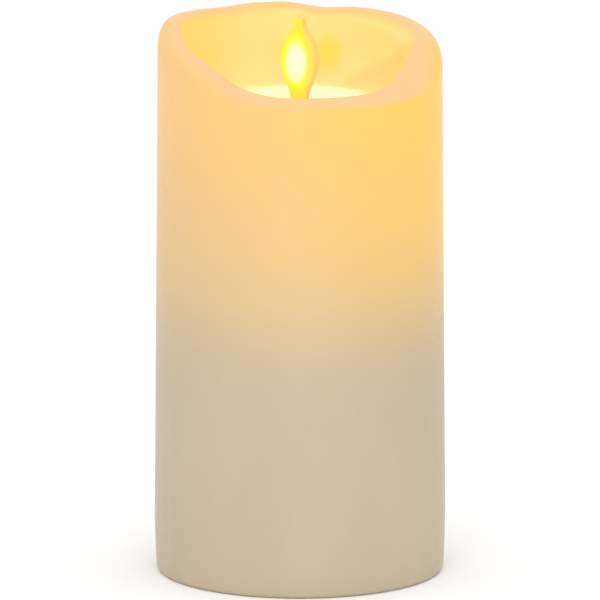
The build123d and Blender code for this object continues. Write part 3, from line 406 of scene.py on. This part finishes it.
def wax_finish(colours):
    """Cast wax, lit through from above, with a bright bowl and a creamy lip: painted light in colour and
    glow.
    """
    material, tree, shader = new_finish("lit_wax", ior=1.44)
    where = place(tree)
    x, y, z = add_node(tree, "ShaderNodeSeparateXYZ", Vector=where).outputs
    side = span(tree, x, -GLOW_REACH, GLOW_REACH, *GLOW_SIDES)
    mottle = grain(tree, where, 55, 2.0)
    uneven = span(tree, mottle, 0.3, 0.7, 0.96, 1.04)
    light = sums(tree, "MULTIPLY", sums(tree, "MULTIPLY", wax_climb(tree, z), side), uneven)
    painted_light = add_node(tree, "ShaderNodeAttribute", {"attribute_name": "wax_light"})
    part = add_node(tree, "ShaderNodeSeparateColor", n0=painted_light.outputs["Color"])
    bowl, lip = part.outputs[0], part.outputs[1]

    pale, deep = ([c * shade for c in colours.ivory] for shade in (1.035, 0.965))
    clouds = span(tree, grain(tree, place(tree, (1, 1, 0.45)), 38, 4.0), 0.3, 0.7)
    # Painted light: the base colour warms with the lamp's light through the wall.
    body = blend(tree, light, blend(tree, clouds, deep, pale), colours.warm)
    # Painted light: the lip and the bowl take yellower base colours where the lamp's light falls.
    body = blend(tree, lip, body, (0.47, 0.35, 0.18))
    body = blend(tree, bowl, body, (0.50, 0.40, 0.13))

    amber = blend(tree, span(tree, x, -0.03, 0.04), colours.amber_left, colours.amber_right)
    glow = blend(tree, light, (0, 0, 0), amber)
    glow = blend(tree, lip, glow, colours.lip)
    left_wall = span(tree, x, -0.034, -0.014, 0.8, 0.0, True)
    glow = blend(tree, bowl, glow, blend(tree, left_wall, colours.bowl, (0.42, 0.25, 0.03)))

    around = add_node(tree, "ShaderNodeCombineXYZ", n0=x, n1=y).outputs[0]
    near = span(tree, length_of(tree, around), POOL_EDGE, POOL_FULL, 0.0, 1.0, True)
    floor_z = RIM_Z - bpy.context.scene.candle_sizes.bowl_depth
    low = span(tree, z, floor_z + 6 * MM, floor_z + 1 * MM, 0.0, 1.0, True)
    pool = sums(tree, "MULTIPLY", sums(tree, "MULTIPLY", near, low), bowl)
    glow = blend(tree, pool, glow, (0.75, 0.72, 0.50))

    beside = add_node(tree, "ShaderNodeMapping", Vector=where,
                      Location=(-PATCH_X / PATCH_WIDE, 0, -PATCH_Z / PATCH_HIGH),
                      Scale=(1 / PATCH_WIDE, 0, 1 / PATCH_HIGH)).outputs[0]
    spread = span(tree, length_of(tree, beside), 0.2, 1.0, 0.8, 0.0, True)
    rear = span(tree, y, 0.0, 10 * MM)
    # Painted light: the patch yellows the wax's base colour and its glow.
    patch = sums(tree, "MULTIPLY", sums(tree, "MULTIPLY", spread, rear), bowl)
    body = blend(tree, patch, body, (0.50, 0.40, 0.03))
    glow = blend(tree, patch, glow, (0.42, 0.29, 0.02))

    tree.links.new(body, shader.inputs["Base Color"])
    tree.links.new(glow, shader.inputs["Emission Color"])
    shader.inputs["Emission Strength"].default_value = 1.0
    fine = grain(tree, where, 420, 3.0)
    tree.links.new(span(tree, fine, 0.3, 0.7, 0.36, 0.46), shader.inputs["Roughness"])
    relief = sums(tree, "ADD", mottle, sums(tree, "MULTIPLY", fine, 0.06))
    roughen(tree, shader, relief, 0.0004, 0.25)
    return material


def flame_finish():
    """Frosted plastic with painted light: a hot oval in the dish of its face, yellow around it, pale orange
    sides.
    """
    material, tree, shader = new_finish("lit_flame", roughness=0.6)
    x, y, z = add_node(tree, "ShaderNodeSeparateXYZ", Vector=place(tree, turn=FLAME_TURN)).outputs
    across = sums(tree, "DIVIDE", sums(tree, "SUBTRACT", x, -OVAL_LEFT), OVAL_WIDE)
    middle = FLAME_HIGH.z - OVAL_BELOW_TIP
    along = sums(tree, "DIVIDE", sums(tree, "SUBTRACT", z, middle), OVAL_HIGH)
    oval = add_node(tree, "ShaderNodeCombineXYZ", n0=across, n1=along).outputs[0]
    # Painted light: the front face takes a yellower base colour and the oval's glow, the back a dim glow.
    front = span(tree, y, -1.3 * MM, -0.7 * MM, 1.0, 0.0, True)
    face = add_node(tree, "ShaderNodeValToRGB", Fac=sums(tree, "MULTIPLY", length_of(tree, oval), 0.5))
    ramp = face.color_ramp
    ramp.elements[0].color = (0.55, 0.55, 0.72, 1)
    ramp.elements[1].color = (0.42, 0.28, 0.03, 1)
    for position, colour in ((0.30, (0.55, 0.55, 0.58, 1)), (0.50, (0.50, 0.45, 0.0, 1)),
                             (0.66, (0.42, 0.28, 0.03, 1))):
        ramp.elements.new(position).color = colour
    # Painted light: the right side of the face glows pale orange.
    right = span(tree, x, 1.2 * MM, 4.6 * MM, 0.0, 0.8, True)
    hue = blend(tree, right, face.outputs[0], (0.40, 0.22, 0.12))
    body = blend(tree, front, (0.55, 0.40, 0.09), (0.60, 0.46, 0.015))
    glow = blend(tree, front, (0.36, 0.20, 0.05), hue)
    tree.links.new(body, shader.inputs["Base Color"])
    tree.links.new(glow, shader.inputs["Emission Color"])
    shader.inputs["Emission Strength"].default_value = 1.0
    roughen(tree, shader, grain(tree, place(tree), 900), 0.00003, 0.3)
    return material


def collar_finish():
    """White moulding that the lamp lights around the flame's slot."""
    material, tree, shader = new_finish("lit_collar")
    where = place(tree)
    z = add_node(tree, "ShaderNodeSeparateXYZ", Vector=where).outputs[2]
    lit = span(tree, z, COLLAR_HIGH.z - 6 * MM, COLLAR_HIGH.z - 1 * MM, 0.0, 1.0, True)
    fine = grain(tree, where, 1400)
    tree.links.new(blend(tree, lit, (0.70, 0.67, 0.58), (0.70, 0.62, 0.40)), shader.inputs["Base Color"])
    glow = blend(tree, lit, (0.02, 0.015, 0.005), (0.62, 0.50, 0.22))
    tree.links.new(glow, shader.inputs["Emission Color"])
    shader.inputs["Emission Strength"].default_value = 1.0
    tree.links.new(span(tree, fine, 0.3, 0.7, 0.4, 0.5), shader.inputs["Roughness"])
    roughen(tree, shader, fine, 0.00002)
    return material


def plastic_finishes():
    """Mouldings, the board and the wires' insulation, by slot."""
    return {
        "ivory_plastic": speckled("ivory_moulding", (0.70, 0.63, 0.46), 0.04, 1400),
        "white_plastic": speckled("white_moulding", (0.72, 0.70, 0.63), 0.04, 1400),
        "black_plastic": speckled("black_moulding", (0.022, 0.022, 0.024), 0.2, 1400, (0.35, 0.5)),
        "board": speckled("solder_mask", (0.02, 0.16, 0.05), 0.15, 700, (0.25, 0.4)),
        "red_wire": speckled("red_insulation", (0.48, 0.02, 0.015), 0.08, 900, (0.35, 0.5)),
        "black_wire": speckled("black_insulation", (0.018, 0.018, 0.018), 0.2, 900, (0.35, 0.5)),
        "white_wire": speckled("white_insulation", (0.66, 0.65, 0.60), 0.05, 900, (0.35, 0.5)),
    }


def metal_finishes():
    """Metals and the capacitor's sleeve, by slot."""
    return {
        "steel": speckled("zinc_plate", (0.56, 0.57, 0.58), 0.1, 900, (0.28, 0.42), metallic=1.0),
        "spring_steel": speckled("nickel_plate", (0.66, 0.65, 0.62), 0.05, 160, (0.2, 0.3),
                                 (1, 3, 1), 0.000004, metallic=1.0),
        "magnet": speckled("bright_nickel", (0.70, 0.70, 0.71), 0.04, 600, (0.12, 0.22), metallic=1.0),
        "copper": speckled("enamelled_copper", (0.62, 0.22, 0.07), 0.15, 300, (0.25, 0.35),
                           (1, 1, 14), metallic=1.0),
        "capacitor_can": speckled("can_sleeve", (0.05, 0.07, 0.16), 0.1, 700, (0.3, 0.4)),
    }


def cell_finish(node):
    """Dark sleeve around the can, bright steel on both ends inside it."""
    low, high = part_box(node)
    centre = (low + high) / 2
    radius = (high.x - low.x) / 2
    material, tree, shader = new_finish(node + "_sleeve", metallic=0.75)
    source = add_node(tree, "ShaderNodeTexCoord").outputs["Object"]
    middle = add_node(tree, "ShaderNodeMapping", Vector=source, Location=(-centre.x, -centre.y, 0),
                      Scale=(1, 1, 0)).outputs[0]
    sleeve = span(tree, length_of(tree, middle), radius - 2.2 * MM, radius - 2.0 * MM)
    fine = grain(tree, place(tree, (1, 1, 8)), 500)
    dark = blend(tree, fine, (0.045, 0.05, 0.06), (0.06, 0.065, 0.075))
    bright = blend(tree, fine, (0.52, 0.52, 0.51), (0.62, 0.62, 0.61))
    tree.links.new(blend(tree, sleeve, bright, dark), shader.inputs["Base Color"])
    tree.links.new(span(tree, fine, 0.3, 0.7, 0.26, 0.38), shader.inputs["Roughness"])
    roughen(tree, shader, fine, 0.000005)
    return material


def lens_finish():
    """Clear resin with a warm chip glowing inside it."""
    material, tree, shader = new_finish("warm_lens", ior=1.5)
    where = place(tree)
    fine = grain(tree, where, 800)
    tree.links.new(blend(tree, fine, (0.86, 0.80, 0.62), (0.92, 0.86, 0.70)), shader.inputs["Base Color"])
    tree.links.new(blend(tree, fine, (0.75, 0.48, 0.16), (0.85, 0.56, 0.2)), shader.inputs["Emission Color"])
    shader.inputs["Emission Strength"].default_value = 1.0
    tree.links.new(span(tree, fine, 0.3, 0.7, 0.08, 0.14), shader.inputs["Roughness"])
    return material


# ---- operators ----------------------------------------------------------------------
class CANDLE_OT_wax_pillar(bpy.types.Operator):
    """Model the wax pillar with its melted bowl and wavy rim"""

    bl_idname = "candle.wax_pillar"
    bl_label = "Wax pillar"

    def execute(self, context):
        sizes = context.scene.candle_sizes
        columns = sizes.columns
        sections = [wax_section(sizes, 360 * i / columns) for i in range(columns)]
        rows = len(sections[0])
        deselect()
        bpy.ops.mesh.primitive_torus_add(major_segments=columns, minor_segments=rows,
                                         major_radius=CAVITY_R, minor_radius=5 * MM)
        pillar = context.active_object
        pillar.name = "wax_pillar"
        painted_light = pillar.data.attributes.new("wax_light", "FLOAT_COLOR", "POINT")
        for i, section in enumerate(sections):
            turn = 2 * math.pi * i / columns
            for j, (radius, z, bowl, lip) in enumerate(section):
                index = i * rows + j
                pillar.data.vertices[index].co = (radius * math.cos(turn), radius * math.sin(turn), z)
                painted_light.data[index].color = (bowl, lip, 0, 1)
        settle(pillar)
        bpy.ops.object.shade_smooth_by_angle(angle=math.radians(50))
        pillar.data.materials.clear()
        pillar.data.materials.append(wax_finish(context.scene.candle_colours))
        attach(pillar, "root")
        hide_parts("wax_shell")
        return {"FINISHED"}


def raised_word(word, x, y, z, size):
    """A moulded word on the underside of the base, read from below."""
    deselect()
    bpy.ops.object.text_add(location=(x, y, z), rotation=(math.pi, 0, 0))
    text = bpy.context.active_object
    text.data.body = word
    text.data.size = size
    text.data.extrude = 0.15 * MM
    text.data.align_x = "CENTER"
    text.data.align_y = "CENTER"
    bpy.ops.object.convert(target="MESH")
    return bpy.context.active_object


class CANDLE_OT_switch_words(bpy.types.Operator):
    """Mould the plain words for the switch's three places on the base"""

    bl_idname = "candle.switch_words"
    bl_label = "Switch words"

    def execute(self, context):
        y = (KNOB_LOW.y + KNOB_HIGH.y) / 2
        words = [raised_word(*entry) for entry in (
            ("ON", -11 * MM, y, PLATE_LOW.z, 3 * MM),
            ("OFF", 0, y - 5.5 * MM, PLATE_LOW.z, 2.6 * MM),
            ("TIMER", 11 * MM, y, PLATE_LOW.z, 2.6 * MM),
        )]
        deselect()
        for word in words:
            word.select_set(True)
        context.view_layer.objects.active = words[0]
        bpy.ops.object.join()
        joined = context.active_object
        joined.name = "switch_words"
        settle(joined)
        joined.data.materials.clear()
        joined.data.materials.append(bpy.data.materials["black_moulding"])
        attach(joined, "root")
        return {"FINISHED"}


class CANDLE_OT_finishes(bpy.types.Operator):
    """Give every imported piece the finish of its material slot"""

    bl_idname = "candle.finishes"
    bl_label = "Finishes"

    def execute(self, context):
        finishes = plastic_finishes()
        finishes.update(metal_finishes())
        finishes["flame_plastic"] = flame_finish()
        finishes["clear_resin"] = lens_finish()
        special = {"flame_collar": collar_finish(), "cell_left": cell_finish("cell_left"),
                   "cell_right": cell_finish("cell_right")}
        for subpart in frame["record"]["subparts"]:
            name, slot = subpart["node"], subpart["material_slot"]
            if name == "wax_shell":
                continue
            node = frame["nodes"][name]
            node.data.materials.clear()
            node.data.materials.append(special[name] if name in special else finishes[slot])
        return {"FINISHED"}


class CANDLE_OT_studio(bpy.types.Operator):
    """Build the pale floor, the soft lights and the camera"""

    bl_idname = "candle.studio"
    bl_label = "Studio"

    def execute(self, context):
        scene = context.scene
        scene.view_settings.view_transform = "Standard"
        scene.view_settings.look = "None"
        deselect()
        bpy.ops.mesh.primitive_circle_add(vertices=128, radius=FLOOR_HOLE_R,
                                          location=(0, 0, -FLOOR_DROP))
        floor = context.active_object
        bpy.ops.object.mode_set(mode="EDIT")
        bpy.ops.mesh.select_all(action="SELECT")
        bpy.ops.mesh.extrude_edges_move()
        bpy.ops.transform.resize(value=(FLOOR_SPREAD, FLOOR_SPREAD, 1))
        bpy.ops.object.mode_set(mode="OBJECT")
        if floor.data.polygons[0].normal.z < 0:
            floor.data.flip_normals()
        floor.name = "studio_floor"
        floor.data.materials.append(floor_finish())
        world = bpy.data.worlds.new("soft_white")
        scene.world = world
        world.use_nodes = True
        world.node_tree.nodes["Background"].inputs[0].default_value = (1, 1, 1, 1)
        world.node_tree.nodes["Background"].inputs[1].default_value = 1.0
        soft_light("front_light", (-0.1, -1.7, 0.75), 1.2, 11.0)
        soft_light("top_light", (0.1, 0.2, 1.6), 1.4, 3.0)
        away = Vector((0, -math.cos(CAMERA_LIFT), math.sin(CAMERA_LIFT)))
        bpy.ops.object.camera_add(location=CAMERA_TARGET + away * CAMERA_DISTANCE)
        camera = context.active_object
        camera.rotation_mode = "QUATERNION"
        camera.rotation_quaternion = (-away).to_track_quat("-Z", "Y")
        camera.data.sensor_width = 36
        camera.data.lens = CAMERA_LENS
        camera.data.clip_start = 0.05
        camera.data.clip_end = 50
        scene.camera = camera
        return {"FINISHED"}


def soft_light(name, location, size, energy):
    """A square area light that faces the candle."""
    bpy.ops.object.light_add(type="AREA", location=location)
    light = bpy.context.active_object
    light.name = name
    light.data.size = size
    light.data.energy = energy
    light.rotation_mode = "QUATERNION"
    light.rotation_quaternion = (LIGHT_TARGET - Vector(location)).to_track_quat("-Z", "Y")


def floor_finish():
    """Matt white, clear from below so that the underside can be seen."""
    material, tree, shader = new_finish("studio_white", base_color=(0.95, 0.95, 0.95, 1), roughness=0.9)
    shader.inputs["Specular IOR Level"].default_value = 0.0
    below = add_node(tree, "ShaderNodeNewGeometry").outputs["Backfacing"]
    clear = add_node(tree, "ShaderNodeBsdfTransparent").outputs[0]
    both = add_node(tree, "ShaderNodeMixShader", n0=below, n1=shader.outputs[0], n2=clear)
    tree.links.new(both.outputs[0], tree.nodes["Material Output"].inputs["Surface"])
    return material


class CANDLE_PT_panel(bpy.types.Panel):
    bl_label = "Flameless candle"
    bl_idname = "CANDLE_PT_panel"
    bl_space_type = "VIEW_3D"
    bl_region_type = "UI"
    bl_category = "Candle"

    def draw(self, context):
        for group in (context.scene.candle_sizes, context.scene.candle_colours):
            box = self.layout.box()
            for name in group.__annotations__:
                box.prop(group, name)
        for operator in (CANDLE_OT_wax_pillar, CANDLE_OT_finishes, CANDLE_OT_switch_words, CANDLE_OT_studio):
            self.layout.operator(operator.bl_idname)


CLASSES = (CandleSizes, CandleColours, CANDLE_OT_wax_pillar, CANDLE_OT_finishes, CANDLE_OT_switch_words,
           CANDLE_OT_studio, CANDLE_PT_panel)


def register():
    for cls in CLASSES:
        bpy.utils.register_class(cls)
    bpy.types.Scene.candle_sizes = PointerProperty(type=CandleSizes)
    bpy.types.Scene.candle_colours = PointerProperty(type=CandleColours)


def unregister():
    del bpy.types.Scene.candle_colours
    del bpy.types.Scene.candle_sizes
    for cls in reversed(CLASSES):
        bpy.utils.unregister_class(cls)


def main():
    register()
    bpy.ops.candle.wax_pillar()
    bpy.ops.candle.finishes()
    bpy.ops.candle.switch_words()
    bpy.ops.candle.studio()


if __name__ == "__main__":
    main()
